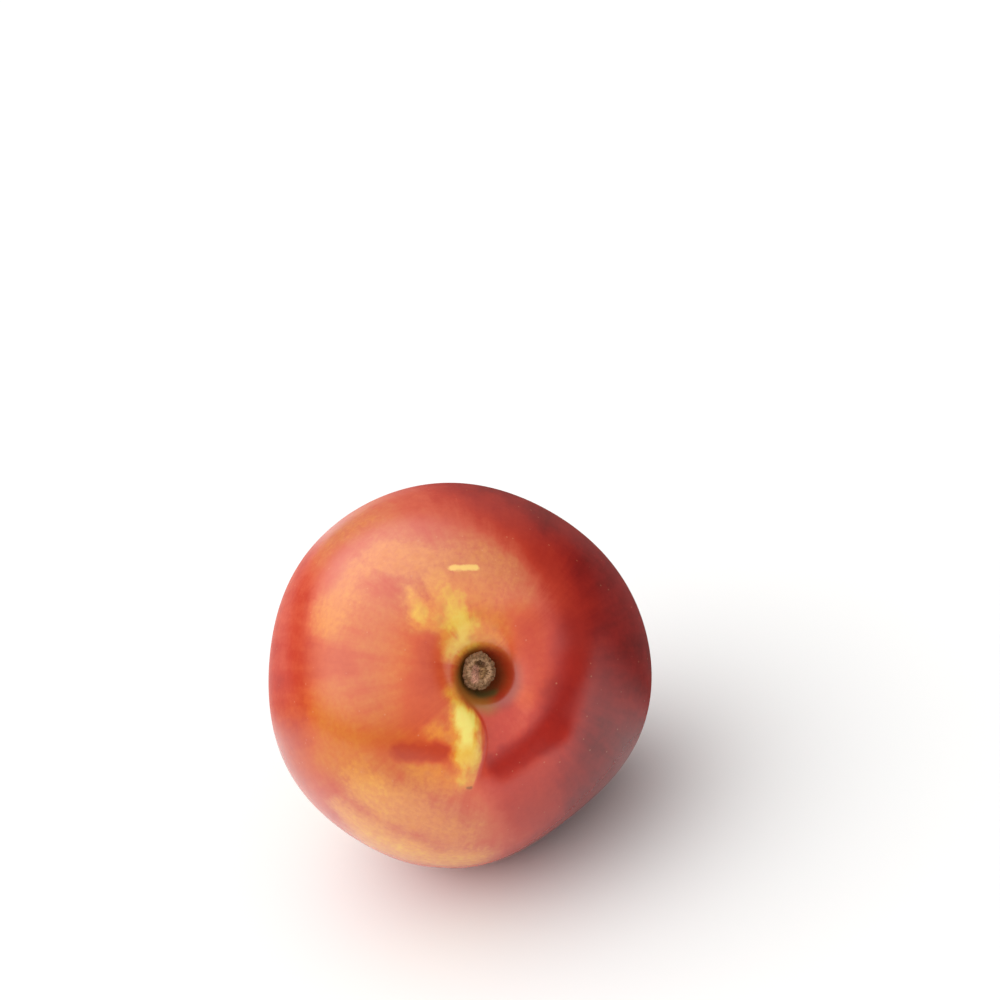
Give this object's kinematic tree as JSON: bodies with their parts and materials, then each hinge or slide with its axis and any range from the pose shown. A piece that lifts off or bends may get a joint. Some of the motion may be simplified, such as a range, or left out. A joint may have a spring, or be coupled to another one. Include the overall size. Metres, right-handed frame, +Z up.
{
  "type": "nectarine",
  "caption": "Whole ripe nectarine lying on its cheek, with a suture groove, a stem cavity and the woody stub of its stalk.",
  "frame": {"origin": "on the table, under the middle of the bounding box", "axes": "+Z up; the stem end looks along -Y, raised by 30 degrees and turned 9.5 degrees towards +X; -Z out of the flat spot that the fruit rests on"},
  "size_m": [0.0706, 0.0694, 0.0686],
  "materials": {
    "skin": "smooth waxy fruit skin without fuzz, red blush over a yellow ground",
    "stub_wood": "dry, fibrous and torn"
  },
  "bodies": {
    "root": {"fruit": "skin", "stem_stub": "stub_wood"}
  },
  "joints": []
}
